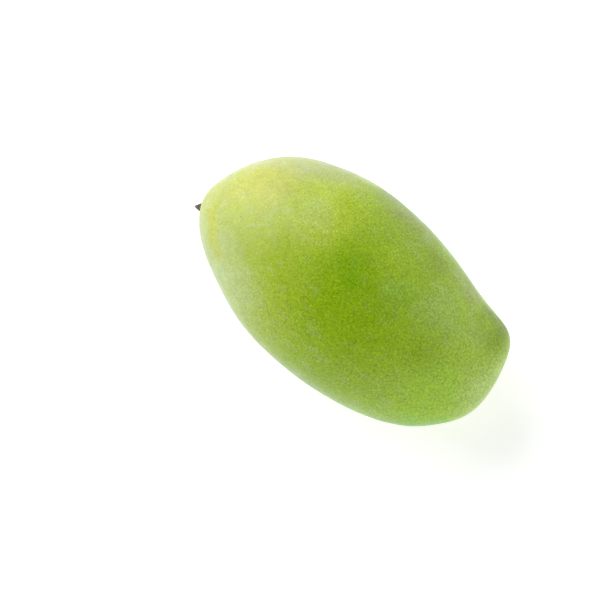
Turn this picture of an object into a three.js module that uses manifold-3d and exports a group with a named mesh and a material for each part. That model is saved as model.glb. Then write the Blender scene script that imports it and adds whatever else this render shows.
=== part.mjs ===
// A whole green mango, lying on one cheek.
// The fruit is one solid: a slightly flattened, lopsided oval with a rounded back, a shallow hollow that
// runs down to a low beak on the other side, and a small basin at the end where the stalk grew.
// The broken stump of the stalk stands in that basin and is a woody piece of its own.
// Millimetres. +X runs from the stalk end to the tip, +Y to the beak side, and +Z up from the lower cheek.
// The origin is under the middle of the whole, on the surface that the fruit lies on.

import * as THREE from "three";
import { mergeVertices } from "three/addons/utils/BufferGeometryUtils.js";
import Module from "manifold-3d";

const fruitLength = 149.2; // stalk end to tip
const fruitBreadth = 88; // beak side to back
const cheekHalfThickness = 37.6; // middle plane to the fullest part of a cheek
const restDepth = 0.6; // how far the lower cheek is pressed flat where it bears the weight
const stalkRadius = 2;
const stalkLength = 3.9; // from the floor of the basin to the splintered end

const skinColour = 0x93b238;
const stalkColour = 0x5b4c3c;

// The fruit's edge seen from above, from the stalk end round by the beak side to the tip and back along the
// rounded side. Each mark is a share of the length from the stalk end and a share of the breadth from the axis.
const edgeMarks = [
  [0.0, -0.03], // stalk end
  [0.017, 0.103],
  [0.064, 0.249], // shoulder on the beak side
  [0.146, 0.381],
  [0.253, 0.459],
  [0.378, 0.502], // fullest on the beak side
  [0.505, 0.498],
  [0.629, 0.464],
  [0.743, 0.406],
  [0.847, 0.348], // shallow hollow
  [0.94, 0.299], // beak
  [0.983, 0.187],
  [1.0, 0.006], // tip
  [0.984, -0.158],
  [0.928, -0.282],
  [0.854, -0.379],
  [0.755, -0.445],
  [0.644, -0.48],
  [0.528, -0.491], // fullest on the rounded side
  [0.407, -0.477],
  [0.289, -0.433],
  [0.184, -0.352],
  [0.094, -0.261],
  [0.029, -0.153], // shoulder on the rounded side
];

// The edge is a closed cubic B-spline. Its cage is moved outwards from the marks until the curve meets them.
const cageRounds = 30;

function cageThrough(marks) {
  const count = marks.length;
  let cage = marks;
  for (let round = 0; round < cageRounds; round++) {
    cage = marks.map((mark, i) => {
      const before = cage[(i + count - 1) % count];
      const after = cage[(i + 1) % count];
      return mark.clone().multiplyScalar(6).sub(before).sub(after).divideScalar(4);
    });
  }
  return cage;
}

const edgeCage = cageThrough(
  edgeMarks.map(([along, across]) => new THREE.Vector2((along - 0.5) * fruitLength, across * fruitBreadth)),
);

// A point of the edge. The turn runs from 0 at the stalk end to half a circle at the tip, and is negative
// along the rounded side.
function edgePoint(turn) {
  const count = edgeCage.length;
  const place = (turn / (2 * Math.PI)) * count;
  const start = Math.floor(place);
  const t = place - start;
  const weights = [
    (1 - t) ** 3 / 6,
    (3 * t ** 3 - 6 * t ** 2 + 4) / 6,
    (-3 * t ** 3 + 3 * t ** 2 + 3 * t + 1) / 6,
    t ** 3 / 6,
  ];
  const point = new THREE.Vector2();
  weights.forEach((weight, k) => point.addScaledVector(edgeCage[(start + k - 1 + 2 * count) % count], weight));
  return point;
}

// Across the fruit each section is an oval from the beak side to the back. It is fullest nearer the stalk,
// a little square in its corners, and thinner on the beak side towards the tip.
const stalkEndFullness = 0.12;
const endBluntness = 0.06;
const cornerFullness = 0.015;
const beakSideThinning = 0.16;

function cheekHeight(way) {
  const c = Math.cos(way);
  return cheekHalfThickness * Math.sin(way) * (1 + stalkEndFullness * c + endBluntness * c * c);
}

// Slow swells that keep the cheeks from being perfect ovals. Each has a height, a direction with its
// radians per millimetre, and a phase, and all die away towards the edge.
const swells = [
  { height: 0.32, wave: new THREE.Vector3(0.05, 0.075, 0.04), phase: 0.6 },
  { height: 0.26, wave: new THREE.Vector3(-0.085, 0.06, 0.09), phase: 2.1 },
  { height: 0.18, wave: new THREE.Vector3(0.12, -0.1, 0.11), phase: 4.4 },
];

function swellHeight(point) {
  return swells.reduce((sum, swell) => sum + swell.height * Math.sin(swell.wave.dot(point) + swell.phase), 0);
}

// A point of the skin without its basin, from its way between the ends (0 at the stalk end, pi at the tip) and
// its angle around the fruit (0 on the beak side, a quarter turn on the upper cheek).
function fullSkinPoint(way, around) {
  const front = edgePoint(way);
  const back = edgePoint(-way);
  const middle = front.clone().add(back).multiplyScalar(0.5);
  const half = front.sub(back).multiplyScalar(0.5);
  const full = 1 + cornerFullness * Math.sin(2 * around) ** 2;
  const thinning = (1 - beakSideThinning * Math.cos(around) * Math.sin(way / 2) ** 2) * full;
  const point = new THREE.Vector3(
    middle.x + half.x * Math.cos(around) * full,
    middle.y + half.y * Math.cos(around) * full,
    cheekHeight(way) * Math.sin(around) * thinning,
  );
  const outwards = point.clone().sub(new THREE.Vector3(middle.x, middle.y, 0)).normalize();
  return point.addScaledVector(outwards, swellHeight(point) * Math.sin(way) * Math.sin(around) ** 2);
}

// The basin is a shallow dent round the stalk, which stands on the rounded side of the stalk end and a few
// millimetres below the edge.
const stalkWay = 0.155;
const stalkAround = -2.44;
const slopeStep = 0.02; // radians over which the skin's slope is taken there
const basinRadius = 5.5;
const basinDepth = 0.5;

const stalkSeat = fullSkinPoint(stalkWay, stalkAround);
const slopeAlong = fullSkinPoint(stalkWay + slopeStep, stalkAround).sub(stalkSeat);
const slopeAround = fullSkinPoint(stalkWay, stalkAround + slopeStep).sub(stalkSeat);
const stalkAxis = slopeAround.cross(slopeAlong).normalize();

function bell(share) {
  return share < 1 ? (1 - share * share) ** 2 : 0;
}

function skinPoint(way, around) {
  const point = fullSkinPoint(way, around);
  return point.addScaledVector(stalkAxis, -basinDepth * bell(point.distanceTo(stalkSeat) / basinRadius));
}

// The skin's faces come from an evenly divided icosahedron, with its points drawn a little towards the
// two ends, where the fruit is rounder.
const skinDivisions = 18;
const endCrowding = 0.3;

function closedGeometry(geometry) {
  geometry.deleteAttribute("normal");
  geometry.deleteAttribute("uv");
  return mergeVertices(geometry, 1e-3);
}

function skinGeometry() {
  const geometry = closedGeometry(new THREE.IcosahedronGeometry(1, skinDivisions));
  const position = geometry.getAttribute("position");
  const direction = new THREE.Vector3();
  for (let i = 0; i < position.count; i++) {
    direction.fromBufferAttribute(position, i).normalize();
    const even = Math.acos(-direction.x);
    const way = even - (endCrowding / 2) * Math.sin(2 * even);
    const point = skinPoint(way, Math.atan2(direction.z, direction.y));
    position.setXYZ(i, point.x, point.y, point.z);
  }
  return geometry;
}

const wasm = await Module();
wasm.setup();

function solidFrom(geometry) {
  const vertProperties = new Float32Array(geometry.getAttribute("position").array);
  const triVerts = new Uint32Array(geometry.index.array);
  return new wasm.Manifold(new wasm.Mesh({ numProp: 3, vertProperties, triVerts }));
}

function geometryFrom(solid) {
  const mesh = solid.getMesh();
  const geometry = new THREE.BufferGeometry();
  geometry.setAttribute("position", new THREE.BufferAttribute(new Float32Array(mesh.vertProperties), 3));
  geometry.setIndex(new THREE.BufferAttribute(new Uint32Array(mesh.triVerts), 1));
  geometry.computeVertexNormals();
  return geometry;
}

// The fruit, with its lowest skin cut level as the small flat spot that it rests on.
function makeFruit() {
  const skin = skinGeometry();
  skin.computeBoundingBox();
  const restLevel = skin.boundingBox.min.z + restDepth;
  const slabHeight = cheekHalfThickness;
  const slab = new THREE.BoxGeometry(2 * fruitLength, 2 * fruitBreadth, slabHeight);
  slab.translate(0, 0, restLevel - slabHeight / 2);
  const cut = solidFrom(skin).subtract(solidFrom(closedGeometry(slab)));
  const fruit = new THREE.Mesh(
    geometryFrom(cut),
    new THREE.MeshStandardMaterial({ color: skinColour, roughness: 0.45, metalness: 0 }),
  );
  fruit.name = "mango_fruit";
  return fruit;
}

// The stalk stump: flared at its foot, ribbed along its length, leaning over towards the rounded side, and
// broken off to a slanting splintered end.
const seatGap = 0.45; // from the floor of the basin to the stump's foot
const stalkSides = 20;
const ribCount = 5;
const ribDepth = 0.06; // share of the radius
const endSlant = 0.35; // rise across the broken end, per millimetre
const stalkLean = 0.12; // sideways, per millimetre of height
const stalkProfile = [
  [0, 0],
  [1.08, 0], // foot
  [0.99, 0.13],
  [0.87, 0.31],
  [0.68, 0.52],
  [0.45, 0.74],
  [0.2, 0.93],
  [0, 1],
]; // share of the radius, share of the length

function makeStalk() {
  const profile = stalkProfile.map(
    ([out, up]) => new THREE.Vector2(out * stalkRadius, up * (stalkLength - seatGap)),
  );
  const geometry = closedGeometry(new THREE.LatheGeometry(profile, stalkSides));
  const position = geometry.getAttribute("position");
  const point = new THREE.Vector3();
  for (let i = 0; i < position.count; i++) {
    point.fromBufferAttribute(position, i);
    const rib = 1 + ribDepth * Math.cos(ribCount * Math.atan2(point.z, point.x));
    const rise = endSlant * point.z * (point.y / stalkLength);
    position.setXYZ(i, point.x * rib - stalkLean * point.y, point.y + rise, point.z * rib);
  }
  geometry.computeVertexNormals();
  const stalk = new THREE.Mesh(
    geometry,
    new THREE.MeshStandardMaterial({ color: stalkColour, roughness: 0.9, metalness: 0 }),
  );
  stalk.name = "stalk_stump";
  stalk.quaternion.setFromUnitVectors(new THREE.Vector3(0, 1, 0), stalkAxis);
  stalk.position.copy(stalkSeat).addScaledVector(stalkAxis, seatGap - basinDepth);
  return stalk;
}

const mango = new THREE.Group();
mango.name = "mango";
mango.add(makeFruit(), makeStalk());

// The whole is set down on the resting surface, centred over the origin.
const extent = new THREE.Box3().setFromObject(mango, true);
const centre = extent.getCenter(new THREE.Vector3());
mango.position.set(-centre.x, -centre.y, -extent.min.z);

export default mango;
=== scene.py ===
# A whole green mango lying on one cheek. Metres: +X runs from the stalk end to the tip, +Y to the beak side
# and +Z up from the surface that it lies on.

import math

import bmesh
import bpy
import numpy as np
from mathutils import Matrix, Vector, noise


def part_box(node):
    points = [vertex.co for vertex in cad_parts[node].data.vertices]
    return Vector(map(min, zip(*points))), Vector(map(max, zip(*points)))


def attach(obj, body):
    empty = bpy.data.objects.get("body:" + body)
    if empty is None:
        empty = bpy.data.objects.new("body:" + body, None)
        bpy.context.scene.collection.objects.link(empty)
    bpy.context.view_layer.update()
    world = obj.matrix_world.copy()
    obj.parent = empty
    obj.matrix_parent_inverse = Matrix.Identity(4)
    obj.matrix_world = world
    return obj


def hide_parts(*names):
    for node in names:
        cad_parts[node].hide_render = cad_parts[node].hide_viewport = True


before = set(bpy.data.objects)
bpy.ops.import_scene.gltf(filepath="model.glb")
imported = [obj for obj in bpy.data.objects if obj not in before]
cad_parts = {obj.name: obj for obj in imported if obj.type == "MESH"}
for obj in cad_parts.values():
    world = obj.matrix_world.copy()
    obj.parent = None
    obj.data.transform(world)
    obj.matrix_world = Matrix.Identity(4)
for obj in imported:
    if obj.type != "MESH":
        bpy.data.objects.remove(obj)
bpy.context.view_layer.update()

# The skin of the fruit, thin and waxy, which grew as one closed surface. It is a lopsided oval with a
# rounded back, a shallow hollow that runs down to a low beak, a small basin round the stalk, and a small
# flat spot under the cheek that it lies on.
fruit_length = 0.1492
fruit_breadth = 0.088
cheek_half_thickness = 0.0376

# The edge seen from above, from the stalk end round by the beak side to the tip and back: shares of the
# length from the stalk end, and shares of the breadth from the axis.
edge_marks = np.array([
    (0.0, -0.03),  # stalk end
    (0.017, 0.103),
    (0.064, 0.249),  # shoulder on the beak side
    (0.146, 0.381),
    (0.253, 0.459),
    (0.378, 0.502),  # fullest on the beak side
    (0.505, 0.498),
    (0.629, 0.464),
    (0.743, 0.406),
    (0.847, 0.348),  # shallow hollow
    (0.94, 0.299),  # beak
    (0.983, 0.187),
    (1.0, 0.006),  # tip
    (0.984, -0.158),
    (0.928, -0.282),
    (0.854, -0.379),
    (0.755, -0.445),
    (0.644, -0.48),
    (0.528, -0.491),  # fullest on the rounded side
    (0.407, -0.477),
    (0.289, -0.433),
    (0.184, -0.352),
    (0.094, -0.261),
    (0.029, -0.153),  # shoulder on the rounded side
])
cage_rounds = 30


def cage_through(marks):
    """The cage of the closed B-spline that meets the marks, found by moving it outwards round by round."""
    cage = marks
    for _ in range(cage_rounds):
        cage = (6 * marks - np.roll(cage, 1, axis=0) - np.roll(cage, -1, axis=0)) / 4
    return cage


edge_cage = cage_through((edge_marks - (0.5, 0)) * (fruit_length, fruit_breadth))


def edge_point(turn):
    """Points of the edge: turn is 0 at the stalk end, pi at the tip, and negative along the rounded back."""
    count = len(edge_cage)
    place = np.asarray(turn) / (2 * np.pi) * count
    start = np.floor(place).astype(int)
    t = (place - start)[..., None]
    weights = ((1 - t) ** 3, 3 * t**3 - 6 * t**2 + 4, -3 * t**3 + 3 * t**2 + 3 * t + 1, t**3)
    return sum(weight / 6 * edge_cage[(start + k - 1) % count] for k, weight in enumerate(weights))


# Across the fruit each section is an oval, fullest nearer the stalk, a little square in its corners, and
# thinner on the beak side towards the tip.
stalk_end_fullness = 0.12
end_bluntness = 0.06
corner_fullness = 0.015
beak_side_thinning = 0.16

# Slow swells of the cheeks: the height, the direction with its radians per metre, and the phase.
swells = (
    (0.00032, (50, 75, 40), 0.6),
    (0.00026, (-85, 60, 90), 2.1),
    (0.00018, (120, -100, 110), 4.4),
)
smallest_radius = 1e-9  # stands in where a section shrinks to nothing, at the two ends


def full_skin_points(way, around):
    """Points of the skin without its basin.

    way is 0 at the stalk end and pi at the tip. around is 0 on the beak side and a quarter turn on the
    upper cheek.
    """
    front = edge_point(way)
    back = edge_point(-way)
    middle = (front + back) / 2
    half = (front - back) / 2
    full = 1 + corner_fullness * np.sin(2 * around) ** 2
    c = np.cos(way)
    cheek = cheek_half_thickness * np.sin(way) * (1 + stalk_end_fullness * c + end_bluntness * c**2)
    thinning = 1 - beak_side_thinning * np.cos(around) * np.sin(way / 2) ** 2
    flat = middle + half * (np.cos(around) * full)[:, None]
    points = np.column_stack((flat, cheek * np.sin(around) * thinning * full))
    outwards = points - np.column_stack((middle, np.zeros(len(way))))
    outwards /= np.maximum(np.linalg.norm(outwards, axis=1), smallest_radius)[:, None]
    swell = sum(height * np.sin(points @ np.array(wave) + phase) for height, wave, phase in swells)
    return points + outwards * (swell * np.sin(way) * np.sin(around) ** 2)[:, None]


# The stalk stands on the rounded side of the stalk end, a few millimetres below the edge, in its basin.
stalk_way = 0.155
stalk_around = -2.44
slope_step = 0.02  # radians over which the skin's slope is taken there
basin_radius = 0.0055
basin_depth = 0.0005
ways = stalk_way + np.array((0, slope_step, 0))
arounds = stalk_around + np.array((0, 0, slope_step))
stalk_seat, next_along, next_around = full_skin_points(ways, arounds)
stalk_axis = np.cross(next_around - stalk_seat, next_along - stalk_seat)
stalk_axis /= np.linalg.norm(stalk_axis)


def skin_points(way, around):
    """Points of the skin with its basin."""
    points = full_skin_points(way, around)
    share = np.minimum(np.linalg.norm(points - stalk_seat, axis=1) / basin_radius, 1)
    return points - stalk_axis * (basin_depth * (1 - share**2) ** 2)[:, None]


# Low waves over the skin, only a few hundredths of a millimetre high, each with a direction and a length.
wave_height = 0.00003
wave_count = 9
shortest_wave = 0.006
longest_wave = 0.014
wave_seed = 11
rng = np.random.default_rng(wave_seed)
wave_runs = rng.normal(size=(wave_count, 3))
wave_lengths = rng.uniform(shortest_wave, longest_wave, wave_count)
wave_runs *= (2 * np.pi / wave_lengths / np.linalg.norm(wave_runs, axis=1))[:, None]
wave_starts = rng.uniform(0, 2 * np.pi, wave_count)


def low_waves(points):
    """The height of the waves, which together are about as strong as one of them alone."""
    each = np.sin(points @ wave_runs.T + wave_starts)
    return each.mean(axis=1) * math.sqrt(wave_count) * wave_height


skin_divisions = 120  # squares along each side of the cube that is blown up to the skin
end_crowding = 0.3  # how far the points are drawn towards the two ends, where the fruit is rounder


def mesh_from(bm, name):
    """A mesh with what was drawn in bm, which is freed."""
    mesh = bpy.data.meshes.new(name)
    bm.to_mesh(mesh)
    bm.free()
    return mesh


def blown_cube(name, divisions):
    """A cube of even squares blown up to a ball of radius 1."""
    bm = bmesh.new()
    bmesh.ops.create_cube(bm, size=2)
    bmesh.ops.subdivide_edges(bm, edges=bm.edges, cuts=divisions - 1, use_grid_fill=True)
    for vert in bm.verts:
        vert.co = Vector([math.tan(x * math.pi / 4) for x in vert.co]).normalized()
    return mesh_from(bm, name)


def read_points(mesh):
    """The places of a mesh's points, one row each."""
    points = np.empty(3 * len(mesh.vertices), np.float32)
    mesh.vertices.foreach_get("co", points)
    return points.reshape(-1, 3).astype(float)


skin_mesh = blown_cube("mango_skin", skin_divisions)
directions = read_points(skin_mesh)
even_way = np.arccos(np.clip(-directions[:, 0], -1, 1))
way = even_way - end_crowding / 2 * np.sin(2 * even_way)
around = np.arctan2(directions[:, 2], directions[:, 1])
points = skin_points(way, around)
points += directions * low_waves(points)[:, None]

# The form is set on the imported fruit: its middle over the same spot, its upper cheek at the same height, and
# its lower cheek pressed flat on the surface, with a soft edge round the flat spot.
rest_softness = 0.0002
fruit_low, fruit_high = (np.array(corner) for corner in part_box("mango_fruit"))
fruit_shift = (fruit_low + fruit_high) / 2 - (points.min(axis=0) + points.max(axis=0)) / 2
fruit_shift[2] = fruit_high[2] - points[:, 2].max()
points += fruit_shift
above_rest = points[:, 2] - fruit_low[2]
points[:, 2] = fruit_low[2] + (above_rest + np.sqrt(above_rest**2 + rest_softness**2)) / 2
skin_mesh.vertices.foreach_set("co", points.astype(np.float32).ravel())
skin_mesh.polygons.foreach_set("use_smooth", np.ones(len(skin_mesh.polygons), bool))
skin_mesh.update()


def put_in_scene(name, data):
    """An object in the scene, at the origin."""
    made = bpy.data.objects.new(name, data)
    bpy.context.collection.objects.link(made)
    return made


skin = put_in_scene("mango_skin", skin_mesh)


def set_inputs(tree, node, inputs):
    """Gives each socket a value, or the socket that feeds it. A colour's value is red, green and blue."""
    for name, value in inputs.items():
        socket = node.inputs[name]
        if isinstance(value, bpy.types.NodeSocket):
            tree.links.new(value, socket)
        elif socket.type == "RGBA":
            socket.default_value = (*value, 1)
        else:
            socket.default_value = value


def new_node(tree, kind, settings=None, inputs=None):
    """Adds a node with its settings and its inputs."""
    node = tree.nodes.new(kind)
    for name, value in (settings or {}).items():
        setattr(node, name, value)
    set_inputs(tree, node, inputs or {})
    return node


def new_look(name):
    """A material with its tree, its shader and the object coordinates, in metres."""
    look = bpy.data.materials.new(name)
    look.use_nodes = True
    tree = look.node_tree
    place = new_node(tree, "ShaderNodeTexCoord").outputs["Object"]
    return look, tree, tree.nodes["Principled BSDF"], place


def clouds(tree, place, size, detail=3, roughness=0.55):
    """Soft random clouds of about that size in metres, from 0 to 1."""
    inputs = {"Vector": place, "Scale": 1 / size, "Detail": detail, "Roughness": roughness}
    return new_node(tree, "ShaderNodeTexNoise", inputs=inputs).outputs["Fac"]


cloud_range = (0.3, 0.7)  # nearly all of a cloud's values lie between these
cloud_middle = (0.5, 0.5, 0.5)


def spread(tree, value, given, wanted=(0.0, 1.0), smooth=True):
    """The value taken from the given range to the wanted one, and held at its ends."""
    settings = {"interpolation_type": "SMOOTHSTEP" if smooth else "LINEAR", "clamp": True}
    ends = {"From Min": given[0], "From Max": given[1], "To Min": wanted[0], "To Max": wanted[1]}
    return new_node(tree, "ShaderNodeMapRange", settings, {"Value": value, **ends}).outputs["Result"]


def combine(tree, operation, first, second):
    """The two numbers added, multiplied or compared."""
    return new_node(tree, "ShaderNodeMath", {"operation": operation}, {0: first, 1: second}).outputs[0]


def combine_vectors(tree, operation, *vectors):
    """The vectors taken together: a vector, or a number for a length, a distance or a dot product."""
    node = new_node(tree, "ShaderNodeVectorMath", {"operation": operation}, dict(enumerate(vectors)))
    gives_number = operation in ("LENGTH", "DISTANCE", "DOT_PRODUCT")
    return node.outputs["Value" if gives_number else "Vector"]


def blend_colours(tree, share, under, over, mode="MIX"):
    """One colour over another, by a share from 0 to 1."""
    settings = {"data_type": "RGBA", "blend_type": mode, "clamp_factor": True}
    return new_node(tree, "ShaderNodeMix", settings, {0: share, 6: under, 7: over}).outputs[2]


def coordinate(tree, place, axis):
    """One of a place's three coordinates: X, Y or Z."""
    return new_node(tree, "ShaderNodeSeparateXYZ", inputs={0: place}).outputs[axis]


# The skin's greens, from the stalk end to the tip: metres along the fruit, and the colour there. Large
# clouds shift them a little to and fro.
skin_greens = (
    (-0.075, (0.40, 0.44, 0.10)),
    (-0.055, (0.40, 0.465, 0.09)),
    (-0.038, (0.39, 0.49, 0.06)),
    (-0.022, (0.335, 0.465, 0.02)),
    (-0.006, (0.28, 0.44, 0.0)),
    (0.012, (0.262, 0.418, 0.0)),
    (0.035, (0.32, 0.50, 0.02)),
    (0.060, (0.36, 0.54, 0.03)),
    (0.075, (0.41, 0.59, 0.09)),
)
green_shift = (-0.006, 0.006)
green_shift_size = 0.045


def greens_along(tree, place):
    """The greens from end to end."""
    clouded = clouds(tree, place, green_shift_size)
    shift = spread(tree, clouded, cloud_range, green_shift, smooth=False)
    first, last = skin_greens[0][0], skin_greens[-1][0]
    along = combine(tree, "ADD", coordinate(tree, place, "X"), shift)
    share = spread(tree, along, (first, last), smooth=False)
    ramp = new_node(tree, "ShaderNodeValToRGB", inputs={"Fac": share})
    stops = ramp.color_ramp.elements
    while len(stops) < len(skin_greens):
        stops.new(0.5)  # for now: each is moved to its own place below
    for stop, (metres, colour) in zip(stops, skin_greens):
        stop.position = (metres - first) / (last - first)
        stop.color = (*colour, 1)
    return ramp.outputs["Color"]


# A thin pale wax lies on the skin in streaks that run along the fruit. It thins out from the stalk end to
# the middle: where along the fruit it does so, and its share at either end of that stretch.
wax_colour = (0.44, 0.52, 0.33)
wax_thinning = (-0.05, 0.0)
wax_share = (0.36, 0.19)
streak_size = 0.004
streak_squeeze = (0.5, 1, 1)  # of the coordinates, which draws the clouds out along the fruit
streak_edge = (0.485, 0.71)  # values of the clouds between which a streak comes in


def wax_cover(tree, place):
    """The share of the wax at a place."""
    thickness = spread(tree, coordinate(tree, place, "X"), wax_thinning, wax_share)
    squeezed = new_node(tree, "ShaderNodeMapping", inputs={"Vector": place, "Scale": streak_squeeze})
    streaks = clouds(tree, squeezed.outputs[0], streak_size, detail=5, roughness=0.62)
    return combine(tree, "MULTIPLY", thickness, spread(tree, streaks, streak_edge))


def ragged_place(tree, place, size, amount):
    """The place, pushed about by clouds of that size, so that what follows it has a ragged edge."""
    warp = new_node(tree, "ShaderNodeTexNoise", inputs={"Vector": place, "Scale": 1 / size, "Detail": 3})
    centred = combine_vectors(tree, "SUBTRACT", warp.outputs["Color"], cloud_middle)
    return combine_vectors(tree, "MULTIPLY_ADD", centred, (amount,) * 3, place)


def near(tree, place, middle, fading, most):
    """A share that is most within the first distance of a middle and nothing past the second one."""
    return spread(tree, combine_vectors(tree, "DISTANCE", place, middle), fading, (most, 0.0))


# Soft patches where the skin has ripened or kept its wax differently, and painted light and shade: a painted
# highlight on the rim by the stalk end, and painted shade on the crest, where the hollow starts and at the
# beak.
# Each has the middle, the reach, the colour and its share there.
skin_patches_and_painted_light = (
    ((-0.025, 0.020, 0.070), 0.022, (0.44, 0.56, 0.05), 0.85),  # bright crown of the cheek
    ((-0.029, 0.018, 0.0695), 0.011, (0.41, 0.51, 0.15), 0.5),  # milky spot on the crown
    ((-0.036, -0.005, 0.071), 0.018, (0.305, 0.43, 0.0), 0.65),  # greener skin beside the long scuff
    ((-0.053, -0.001, 0.064), 0.014, (0.36, 0.455, 0.03), 0.8),  # clearer skin at the scuff's end
    ((-0.057, 0.016, 0.058), 0.022, (0.46, 0.475, 0.075), 0.8),  # yellow shoulder
    ((-0.061, 0.0215, 0.049), 0.012, (0.46, 0.485, 0.23), 0.6),  # painted highlight along the rim, pale and milky
    ((-0.070, 0.008, 0.045), 0.010, (0.46, 0.50, 0.24), 0.5),  # and round to the stalk end, also painted highlight
    ((-0.045, 0.036, 0.045), 0.026, (0.40, 0.44, 0.18), 0.8),  # waxy outer shoulder
    ((-0.030, 0.037, 0.051), 0.015, (0.35, 0.41, 0.13), 0.6),  # its greener end
    ((-0.054, 0.027, 0.022), 0.018, (0.40, 0.48, 0.07), 0.75),  # clearer skin under the shoulder
    ((-0.030, 0.037, 0.026), 0.017, (0.33, 0.45, 0.03), 0.75),  # and further along
    ((-0.049, -0.028, 0.051), 0.033, (0.41, 0.51, 0.20), 0.8),  # waxy back near the stalk
    ((-0.066, -0.020, 0.040), 0.016, (0.40, 0.45, 0.17), 0.7),  # and beside the stalk
    ((0.002, 0.002, 0.075), 0.036, (0.235, 0.405, 0.0), 0.75),  # full green middle: deep green skin, partly painted shade on the crest
    ((-0.005, 0.006, 0.075), 0.013, (0.2, 0.38, 0.0), 0.8),  # and its deepest spot, partly painted shade
    ((-0.017, 0.031, 0.063), 0.013, (0.31, 0.45, 0.0), 0.7),  # beak side, below the crown
    ((0.000, 0.040, 0.048), 0.024, (0.26, 0.33, 0.04), 0.8),  # olive edge of the beak side
    ((0.012, 0.019, 0.070), 0.014, (0.31, 0.47, 0.01), 0.7),  # lighter green towards the tip
    ((0.035, 0.0135, 0.0645), 0.016, (0.325, 0.485, 0.085), 0.75),  # wax above the hollow
    ((0.0155, 0.0365, 0.0525), 0.006, (0.33, 0.42, 0.16), 0.4),  # milky spot before the hollow
    ((0.0155, 0.009, 0.071), 0.012, (0.27, 0.455, 0.05), 0.5),  # thin wax beside the middle
    ((0.042, 0.030, 0.047), 0.017, (0.295, 0.38, 0.055), 0.85),  # the hollow
    ((0.0245, 0.0315, 0.0555), 0.011, (0.22, 0.31, 0.0), 0.65),  # painted shade where the hollow starts, a dark streak
    ((0.053, 0.0145, 0.0565), 0.011, (0.31, 0.44, 0.10), 0.4),  # wax between it and the beak
    ((0.062, 0.020, 0.047), 0.014, (0.235, 0.375, 0.0), 0.85),  # dark green beak, partly painted shade where it faces from the light
    ((0.060, 0.026, 0.042), 0.010, (0.17, 0.26, 0.0), 0.85),  # and its darkest edge, painted shade
    ((0.0395, -0.002, 0.0665), 0.018, (0.253, 0.41, 0.0), 0.75),  # plain green below the beak
    ((0.056, -0.018, 0.056), 0.026, (0.34, 0.59, 0.01), 0.8),  # bright green back near the tip
    ((0.045, -0.036, 0.028), 0.034, (0.24, 0.46, 0.01), 0.7),  # greener skin all along under it
    ((0.057, -0.030, 0.044), 0.015, (0.19, 0.49, 0.01), 0.5),  # and its cooler edge
    ((0.064, -0.0226, 0.0475), 0.009, (0.22, 0.53, 0.0), 0.55),  # deeper green below the tip
    ((0.071, -0.003, 0.048), 0.018, (0.42, 0.60, 0.12), 0.8),  # pale tip
)
patch_core = 0.2  # the share of its reach over which a patch is even
patch_edge_size = 0.014
patch_raggedness = 0.016
patch_break_size = 0.007
patch_breaks = (0.35, 0.65)  # values of the clouds that break a patch up
patch_strength = (0.6, 1.35)  # and how strong it is there


def with_patches(tree, place, colour):
    """The colour with the patches over it, each broken up by smaller clouds."""
    ragged = ragged_place(tree, place, patch_edge_size, patch_raggedness)
    breaks = clouds(tree, place, patch_break_size, detail=4, roughness=0.6)
    strength = spread(tree, breaks, patch_breaks, patch_strength, smooth=False)
    for middle, reach, tint, most in skin_patches_and_painted_light:
        share = near(tree, ragged, middle, (patch_core * reach, reach), most)
        colour = blend_colours(tree, combine(tree, "MULTIPLY", share, strength), colour, tint)
    return colour


# Small yellow marks round the stalk end, with a sharper edge than the patches: the middle, the reach and the
# share.
ripe_marks = (
    ((-0.0672, -0.0055, 0.0525), 0.0050, 0.7),
    ((-0.0655, -0.0090, 0.0535), 0.0050, 0.55),
    ((-0.0630, -0.0125, 0.0545), 0.0060, 0.65),
    ((-0.0600, -0.0165, 0.0545), 0.0060, 0.7),
    ((-0.0565, -0.0195, 0.0550), 0.0055, 0.55),
    ((-0.0530, -0.0215, 0.0555), 0.0055, 0.5),
    ((-0.0590, 0.0100, 0.0580), 0.0050, 0.35),
)
ripe_yellow = (0.43, 0.455, 0.04)
mark_core = 0.1  # as for a patch
mark_edge_size = 0.003
mark_raggedness = 0.004


def with_ripe_marks(tree, place, colour):
    """The colour with the yellow marks over it."""
    frayed = ragged_place(tree, place, mark_edge_size, mark_raggedness)
    for middle, reach, most in ripe_marks:
        share = near(tree, frayed, middle, (mark_core * reach, reach), most)
        colour = blend_colours(tree, share, colour, ripe_yellow)
    return colour


# Faint pale scuffs where the fruit rubbed against a twig: the two ends, the half width and the share.
scuffs = (
    ((-0.0508, -0.0043, 0.0655), (-0.0434, 0.0011, 0.0691), 0.0007, 0.24),
    ((-0.0595, 0.0215, 0.0530), (-0.0530, 0.0270, 0.0530), 0.0006, 0.25),
    ((0.0100, -0.0330, 0.0550), (0.0210, -0.0300, 0.0570), 0.0004, 0.25),
    ((-0.0200, 0.0300, 0.0110), (-0.0120, 0.0360, 0.0140), 0.0005, 0.3),
    ((0.0340, 0.0305, 0.0520), (0.0470, 0.0284, 0.0480), 0.0028, 0.15),
)
scuff_colour = (0.52, 0.52, 0.34)
scuff_core = 0.2  # the share of its half width over which a scuff is even
scuff_edge_size = 0.0025
scuff_raggedness = 0.0014

# The corky ring round the foot of the stalk: the colour, the distances from the stalk's middle between which
# it fades, and its share.
cork_ring_colour = (0.24, 0.2, 0.09)
cork_ring_fading = (0.0026, 0.0048)
cork_ring_share = 0.75


def near_line(tree, place, start, end, width, most):
    """A share that is most on the line between two ends and fades over the width beside it."""
    run = np.subtract(end, start)
    offset = combine_vectors(tree, "SUBTRACT", place, start)
    step = combine_vectors(tree, "DOT_PRODUCT", offset, tuple(run / (run @ run)))
    share = new_node(tree, "ShaderNodeClamp", inputs={"Value": step}).outputs[0]
    foot = combine_vectors(tree, "MULTIPLY", tuple(run), share)
    gap = combine_vectors(tree, "DISTANCE", offset, foot)
    return spread(tree, gap, (scuff_core * width, width), (most, 0.0))


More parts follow.
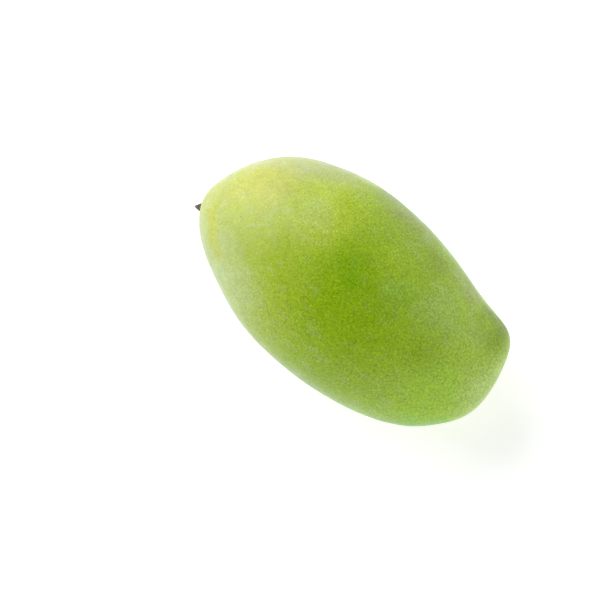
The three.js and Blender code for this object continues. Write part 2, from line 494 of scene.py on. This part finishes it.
def with_scars(tree, place, colour):
    """The colour with the scuffs and the corky ring over it."""
    frayed = ragged_place(tree, place, scuff_edge_size, scuff_raggedness)
    for start, end, width, most in scuffs:
        colour = blend_colours(tree, near_line(tree, frayed, start, end, width, most), colour, scuff_colour)
    stalk_foot = Vector(stalk_seat + fruit_shift)
    share = near(tree, frayed, stalk_foot, cork_ring_fading, cork_ring_share)
    return blend_colours(tree, share, colour, cork_ring_colour)


# A fine mottle makes the whole skin a little lighter and darker.
mottle_size = 0.0035
mottle_strength = (0.94, 1.06)


def skin_colour(tree, place):
    """The colour of the skin without its grain and dots."""
    colour = blend_colours(tree, wax_cover(tree, place), greens_along(tree, place), wax_colour)
    colour = with_patches(tree, place, colour)
    colour = with_ripe_marks(tree, place, colour)
    colour = with_scars(tree, place, colour)
    mottle = spread(tree, clouds(tree, place, mottle_size), cloud_range, mottle_strength, smooth=False)
    return blend_colours(tree, 1.0, colour, mottle, "MULTIPLY")


# The skin's grain, which shows fully on the green cheeks and by half on the pale stalk end: where along the
# fruit it comes in, and its share at either end of that stretch.
grain_size = 0.0009
grain_contrast = (0.66, 1.18)
grain_relief = {"Strength": 0.2, "Distance": 0.0001}
grain_coming_in = (-0.055, -0.005)
grain_share = (0.45, 1.0)


def grain_strength(tree, place):
    """How strongly the grain shows at a place."""
    return spread(tree, coordinate(tree, place, "X"), grain_coming_in, grain_share)


# The skin's soft shine, with a bluish sheen at its rim from the wax.
skin_shine = {
    "Specular IOR Level": 0.36,
    "Sheen Weight": 0.3,
    "Sheen Roughness": 0.3,
    "Sheen Tint": (0.62, 0.75, 1.0),
}
dullness_size = 0.006
skin_dullness = (0.34, 0.46)


def skin_material():
    """The waxy skin, mottled and grained."""
    look, tree, shader, place = new_look("mango_skin")
    grain = clouds(tree, place, grain_size, detail=2, roughness=0.6)
    contrast = spread(tree, grain, cloud_range, grain_contrast, smooth=False)
    colour = skin_colour(tree, place)
    colour = blend_colours(tree, grain_strength(tree, place), colour, contrast, "MULTIPLY")
    dullness = spread(tree, clouds(tree, place, dullness_size), cloud_range, skin_dullness)
    bump = new_node(tree, "ShaderNodeBump", inputs={"Height": grain, **grain_relief})
    set_inputs(tree, shader, {
        **skin_shine,
        "Base Color": colour,
        "Roughness": dullness,
        "Normal": bump.outputs["Normal"],
    })
    return look


skin_mesh.materials.append(skin_material())
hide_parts("mango_fruit")
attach(skin, "root")

# The lenticels, the pores of the skin: low corky dots, paler than the green round them, that stand close
# together all over the fruit. They grow from the skin and are sunk into it. A few have dried to dark specks.
lenticel_spacing = 0.0011
smallest_lenticel = 0.00018
largest_lenticel = 0.00037
lenticel_height = 0.00004
lenticel_sides = 5
lenticel_sunk = 0.35  # share of the height
lenticel_seed = 7
most_lenticels = 2.0e6  # to a square metre, before the spacing thins them out
crowding_size = 0.004
crowding_range = (0.35, 0.6)  # values of the clouds between which they come closer together
crowding_share = (0.65, 1.0)
speck_start = 0.9988  # paleness past which a dot is a dried speck
speck_swelling = 0.5  # how much broader a speck is, as a share


def lenticel_tree():
    """Scatters the dots over the mesh that comes in, and gives each a paleness of its own.

    A dot is a low cone of radius and height 1 until it is scaled, sunk a little into the skin.
    """
    tree = bpy.data.node_groups.new("lenticels", "GeometryNodeTree")
    tree.interface.new_socket("Geometry", in_out="INPUT", socket_type="NodeSocketGeometry")
    for name in ("Spacing", "Smallest", "Largest", "Height"):
        tree.interface.new_socket(name, in_out="INPUT", socket_type="NodeSocketFloat")
    tree.interface.new_socket("Material", in_out="INPUT", socket_type="NodeSocketMaterial")
    tree.interface.new_socket("Geometry", in_out="OUTPUT", socket_type="NodeSocketGeometry")
    given = tree.nodes.new("NodeGroupInput").outputs
    result = tree.nodes.new("NodeGroupOutput")

    def output_of(kind, settings, inputs, output):
        """One output of a node that is added to this tree."""
        return new_node(tree, kind, settings, inputs).outputs[output]

    def chance(low, high, seed):
        """A random number for each dot."""
        limits = {2: low, 3: high, "Seed": seed}
        return output_of("FunctionNodeRandomValue", {"data_type": "FLOAT"}, limits, 1)

    # The points, which lie closer together here and there, and the cone that stands on each.
    crowding = output_of("ShaderNodeTexNoise", {}, {"Scale": 1 / crowding_size, "Detail": 2}, "Fac")
    scatter = new_node(tree, "GeometryNodeDistributePointsOnFaces", {"distribute_method": "POISSON"}, {
        "Mesh": given["Geometry"],
        "Distance Min": given["Spacing"],
        "Density Max": most_lenticels,
        "Density Factor": spread(tree, crowding, crowding_range, crowding_share),
        "Seed": lenticel_seed,
    })
    cone_sizes = {"Vertices": lenticel_sides, "Radius Top": 0.0, "Radius Bottom": 1.0, "Depth": 1.0}
    cone = output_of("GeometryNodeMeshCone", {"fill_type": "NGON"}, cone_sizes, "Mesh")
    sinking = {"Geometry": cone, "Translation": (0, 0, -lenticel_sunk)}
    sunk_cone = output_of("GeometryNodeTransform", {}, sinking, "Geometry")

    # Each dot has its own paleness, its own radius and its own turn about its axis.
    paleness = chance(0.0, 1.0, seed=3)
    is_speck = combine(tree, "GREATER_THAN", paleness, speck_start)
    swelling = combine(tree, "ADD", combine(tree, "MULTIPLY", is_speck, speck_swelling), 1.0)
    radius = combine(tree, "MULTIPLY", chance(given["Smallest"], given["Largest"], seed=1), swelling)
    size = output_of("ShaderNodeCombineXYZ", {}, {"X": radius, "Y": radius, "Z": given["Height"]}, "Vector")
    angle = chance(0.0, math.tau, seed=2)
    spin = output_of("FunctionNodeAxisAngleToRotation", {}, {"Angle": angle}, "Rotation")
    turning = {"Rotation": scatter.outputs["Rotation"], "Rotate By": spin}
    turned = output_of("FunctionNodeRotateRotation", {"rotation_space": "LOCAL"}, turning, "Rotation")
    placing = {"Points": scatter.outputs["Points"], "Instance": sunk_cone, "Rotation": turned, "Scale": size}
    dots = output_of("GeometryNodeInstanceOnPoints", {}, placing, "Instances")

    # The dots are made one real mesh, which keeps each dot's paleness for the material.
    for_each_dot = {"data_type": "FLOAT", "domain": "INSTANCE"}
    naming = {"Geometry": dots, "Name": "paleness", "Value": paleness}
    named = output_of("GeometryNodeStoreNamedAttribute", for_each_dot, naming, "Geometry")
    real = output_of("GeometryNodeRealizeInstances", {}, {"Geometry": named}, "Geometry")
    dressing = {"Geometry": real, "Material": given["Material"]}
    dressed = output_of("GeometryNodeSetMaterial", {}, dressing, "Geometry")
    tree.links.new(dressed, result.inputs["Geometry"])
    return tree


# How a dot's paleness shows: how much lighter it is than the skin, the cork that comes in on the palest
# dots, and the brown of the dried specks.
paleness_gain = (1.0, 1.8)
cork_colour = (0.62, 0.66, 0.3)
cork_coming_in = (0.3, 1.0)
cork_share = (0.0, 0.1)
speck_colour = (0.06, 0.05, 0.02)
speck_share = 0.7
lenticel_dullness = 0.45


def lenticel_material():
    """The skin's own colour, made paler by each dot's paleness, or dried to a speck."""
    look, tree, shader, place = new_look("lenticels")
    paleness = new_node(tree, "ShaderNodeAttribute", {"attribute_name": "paleness"}).outputs["Fac"]
    lighter = spread(tree, paleness, (0.0, 1.0), paleness_gain, smooth=False)
    cork = spread(tree, paleness, cork_coming_in, cork_share, smooth=False)
    is_speck = combine(tree, "GREATER_THAN", paleness, speck_start)
    dried = combine(tree, "MULTIPLY", is_speck, speck_share)
    colour = skin_colour(tree, place)
    colour = blend_colours(tree, grain_strength(tree, place), colour, lighter, "MULTIPLY")
    colour = blend_colours(tree, cork, colour, cork_colour)
    colour = blend_colours(tree, dried, colour, speck_colour)
    set_inputs(tree, shader, {**skin_shine, "Base Color": colour, "Roughness": lenticel_dullness})
    return look


lenticels = put_in_scene("lenticels", skin_mesh.copy())
scattering = lenticels.modifiers.new("lenticels", "NODES")
scattering.node_group = lenticel_tree()
tree_inputs = [item for item in scattering.node_group.interface.items_tree if item.in_out == "INPUT"]
identifiers = {item.name: item.identifier for item in tree_inputs}
for name, value in (
    ("Spacing", lenticel_spacing),
    ("Smallest", smallest_lenticel),
    ("Largest", largest_lenticel),
    ("Height", lenticel_height),
    ("Material", lenticel_material()),
):
    scattering[identifiers[name]] = value
evaluated = lenticels.evaluated_get(bpy.context.evaluated_depsgraph_get())
lenticel_mesh = bpy.data.meshes.new_from_object(evaluated)
lenticels.modifiers.remove(scattering)
lenticels.data = lenticel_mesh
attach(lenticels, "root")

# The stump of the stalk: a dry woody peg, flared at its foot where it grows out of the fruit, leaning
# towards the rounded side, and torn off to a slanting end of short fibres.
stump_radius = 0.002
stump_length = 0.0039
seat_gap = 0.00045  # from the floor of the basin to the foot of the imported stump
foot_depth = 0.0011  # how far the stump runs on below that foot, into the fruit
rib_count = 5
rib_depth = 0.06  # share of the radius
end_slant = 0.35  # rise across the torn end, per metre
stump_lean = 0.12  # sideways, per metre of height
stump_sides = 96
stump_rings = 60

# Shares of the radius and of the length, from the foot to the end.
stump_profile = np.array([
    (1.08, 0),
    (0.99, 0.13),
    (0.87, 0.31),
    (0.68, 0.52),
    (0.45, 0.74),
    (0.2, 0.93),
    (0, 1),
])

# Fine grooves between the ribs: how many go round, their depth as a share of the radius, and their start.
stump_grooves = (
    (13, 0.022, 0.8),
    (29, 0.016, 2.0),
)

# The torn fibres at the end: how deep and how thick they are, and the slice of the noise that draws them.
fibre_depth = 0.00016
fibre_thickness = 0.00028
fibre_slice = 3.0


def stump_point(radius, height, turn, reach):
    """A point of the stump's side, at a height and a turn round it."""
    grooves = sum(depth * math.cos(count * turn + start) for count, depth, start in stump_grooves)
    rib = 1 + rib_depth * math.cos(rib_count * turn) + grooves
    x, z = radius * rib * math.cos(turn), radius * rib * math.sin(turn)
    torn = max(height, 0) / reach
    drawn = noise.noise(Vector((x / fibre_thickness, z / fibre_thickness, fibre_slice)))
    y = height + torn * (end_slant * z + drawn * fibre_depth * (1 + torn))
    return x - stump_lean * max(height, 0), y, z


def stump_mesh():
    """The stump standing along Y over its own foot."""
    reach = stump_length - seat_gap
    steps = np.linalg.norm(np.diff(stump_profile * (stump_radius, reach), axis=0), axis=1)
    along = np.append(0, np.cumsum(steps)) / steps.sum()
    share = (np.arange(stump_rings) + 0.5) / stump_rings
    out = np.interp(share, along, stump_profile[:, 0]) * stump_radius
    up = np.interp(share, along, stump_profile[:, 1]) * reach
    rows = [(stump_profile[0, 0] * stump_radius, -foot_depth), *zip(out, up)]
    turns = [math.tau * k / stump_sides for k in range(stump_sides)]
    bm = bmesh.new()
    rings = [[bm.verts.new(stump_point(*row, turn, reach)) for turn in turns] for row in rows]
    for lower, upper in zip(rings, rings[1:]):
        for k in range(stump_sides):
            after = (k + 1) % stump_sides
            bm.faces.new((lower[k], upper[k], upper[after], lower[after]))
    bm.faces.new(rings[0])
    bm.faces.new(reversed(rings[-1]))
    bmesh.ops.recalc_face_normals(bm, faces=bm.faces)
    for face in bm.faces:
        face.smooth = len(face.verts) == 4
    return mesh_from(bm, "broken_stalk")


stump_turn = Vector((0, 1, 0)).rotation_difference(Vector(stalk_axis))
stump_foot = Vector(stalk_seat + fruit_shift + stalk_axis * (seat_gap - basin_depth))

# Dark and pale fibres that run up the stump, a greyer crust on top of them, and a little green left at its
# foot: the colours, the sizes, and where each comes in.
dark_fibre = (0.035, 0.027, 0.022)
pale_fibre = (0.16, 0.13, 0.1)
pale_fibre_edge = (0.35, 0.68)
fibre_size = 0.0003
fibre_squeeze = (1, 0.16, 1)  # of the coordinates, which draws the fibres out up the stump
crust_colour = (0.24, 0.2, 0.16)
crust_size = 0.0007
crust_edge = (0.45, 0.75)
crust_share = (0.0, 0.6)
foot_green = (0.16, 0.17, 0.07)
foot_green_height = (0.0, 0.0009)
foot_green_share = (0.45, 0.0)
stalk_dullness = (0.75, 0.95)
stalk_shine = 0.3
fibre_relief = {"Strength": 0.7, "Distance": 0.00012}


def stump_material():
    """The dry wood, seen in the stump's own upright frame."""
    look, tree, shader, place = new_look("dry_stalk")
    own_frame = {"Vector": place, "Location": stump_foot, "Rotation": stump_turn.to_euler()}
    own = new_node(tree, "ShaderNodeMapping", {"vector_type": "TEXTURE"}, own_frame).outputs[0]
    squeezed = new_node(tree, "ShaderNodeMapping", inputs={"Vector": own, "Scale": fibre_squeeze})
    fibres = clouds(tree, squeezed.outputs[0], fibre_size)
    crust = spread(tree, clouds(tree, place, crust_size, detail=4), crust_edge, crust_share)
    green = spread(tree, coordinate(tree, own, "Y"), foot_green_height, foot_green_share)
    colour = blend_colours(tree, spread(tree, fibres, pale_fibre_edge), dark_fibre, pale_fibre)
    colour = blend_colours(tree, crust, colour, crust_colour)
    colour = blend_colours(tree, green, colour, foot_green)
    dullness = spread(tree, fibres, cloud_range, stalk_dullness)
    bump = new_node(tree, "ShaderNodeBump", inputs={"Height": fibres, **fibre_relief})
    set_inputs(tree, shader, {
        "Base Color": colour,
        "Roughness": dullness,
        "Specular IOR Level": stalk_shine,
        "Normal": bump.outputs["Normal"],
    })
    return look


broken_stalk_mesh = stump_mesh()
broken_stalk_mesh.transform(Matrix.Translation(stump_foot) @ stump_turn.to_matrix().to_4x4())
broken_stalk_mesh.materials.append(stump_material())
broken_stalk = put_in_scene("broken_stalk", broken_stalk_mesh)
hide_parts("stalk_stump")
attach(broken_stalk, "root")

# The table: a plain white sheet that the fruit lies on, matt, and glowing a little so that it stays white.
# It glows more away from the fruit.
table_half = 6  # metres from the middle to each side
table_white = (0.85, 0.85, 0.85)
table_dullness = 0.9
table_glow = (0.52, 0.8)
table_glow_rising = (0.3, 1.5)  # metres from the fruit


def table_material():
    """The white of the table."""
    look, tree, shader, place = new_look("white_table")
    glow = spread(tree, combine_vectors(tree, "LENGTH", place), table_glow_rising, table_glow)
    set_inputs(tree, shader, {
        "Base Color": table_white,
        "Roughness": table_dullness,
        "Specular IOR Level": 0.0,
        "Emission Color": (1, 1, 1),
        "Emission Strength": glow,
    })
    return look


table_mesh = bpy.data.meshes.new("table")
corners = [(x * table_half, y * table_half, 0) for x, y in ((-1, -1), (1, -1), (1, 1), (-1, 1))]
table_mesh.from_pydata(corners, [], [(0, 1, 2, 3)])
table_mesh.materials.append(table_material())
table = put_in_scene("table", table_mesh)

# The camera, which looks straight down on the fruit with the roll that gives it the slant of the photograph.
picture_slant = math.radians(35.87)
picture_middle = Vector((-0.01434, -0.0161, 0.0368))
picture_width = 0.25935  # metres across the picture at the height of its middle
picture_right = Vector((math.cos(picture_slant), math.sin(picture_slant), 0))
picture_up = Vector((-math.sin(picture_slant), math.cos(picture_slant), 0))
straight_up = Vector((0, 0, 1))
lens = 100  # millimetres, as is the sensor
sensor = 36
camera_height = picture_width * lens / sensor
camera_data = bpy.data.cameras.new("camera")
camera_data.lens = lens
camera_data.sensor_width = sensor
camera = put_in_scene("camera", camera_data)
camera_axes = Matrix((picture_right, picture_up, straight_up)).transposed().to_4x4()
camera.matrix_world = Matrix.Translation(picture_middle + straight_up * camera_height) @ camera_axes
bpy.context.scene.camera = camera


# The soft lights: the key stands beyond the fruit's upper left in the picture, and a weaker fill beyond its
# lower right.
def softbox(name, right, up, height, size, power):
    """A square light aimed at the fruit.

    right and up are metres in the picture's own directions, and height is metres above the table.
    """
    light_data = bpy.data.lights.new(name, "AREA")
    light_data.size = size
    light_data.energy = power
    light = put_in_scene(name, light_data)
    place = picture_right * right + picture_up * up + straight_up * height
    light.matrix_world = Matrix.Translation(place) @ place.to_track_quat("Z", "Y").to_matrix().to_4x4()


softbox("key", right=-0.8, up=0.85, height=0.75, size=1.3, power=24)
softbox("fill", right=1.5, up=-1.3, height=0.6, size=2.0, power=5)

# The room is bright low down all round and dark overhead, where the camera stands, and the dark is a little
# towards the key light's side. The fading is by the cosine of the angle from the middle of the dark.
low_light = 1.32
overhead_light = 0.06
dark_lean = 0.22
dark_fading = (0.2, 0.72)
room = bpy.data.worlds.new("studio")
bpy.context.scene.world = room
room.use_nodes = True
sky = room.node_tree
direction = new_node(sky, "ShaderNodeTexCoord").outputs["Generated"]
dark_middle = (straight_up - picture_right * dark_lean + picture_up * dark_lean).normalized()
towards_dark = combine_vectors(sky, "DOT_PRODUCT", direction, dark_middle)
level = spread(sky, towards_dark, dark_fading, (low_light, overhead_light))
set_inputs(sky, sky.nodes["Background"], {"Color": (1, 1, 1), "Strength": level})

# Colours are shown as they are, so that the white table is white.
bpy.context.scene.view_settings.view_transform = "Standard"
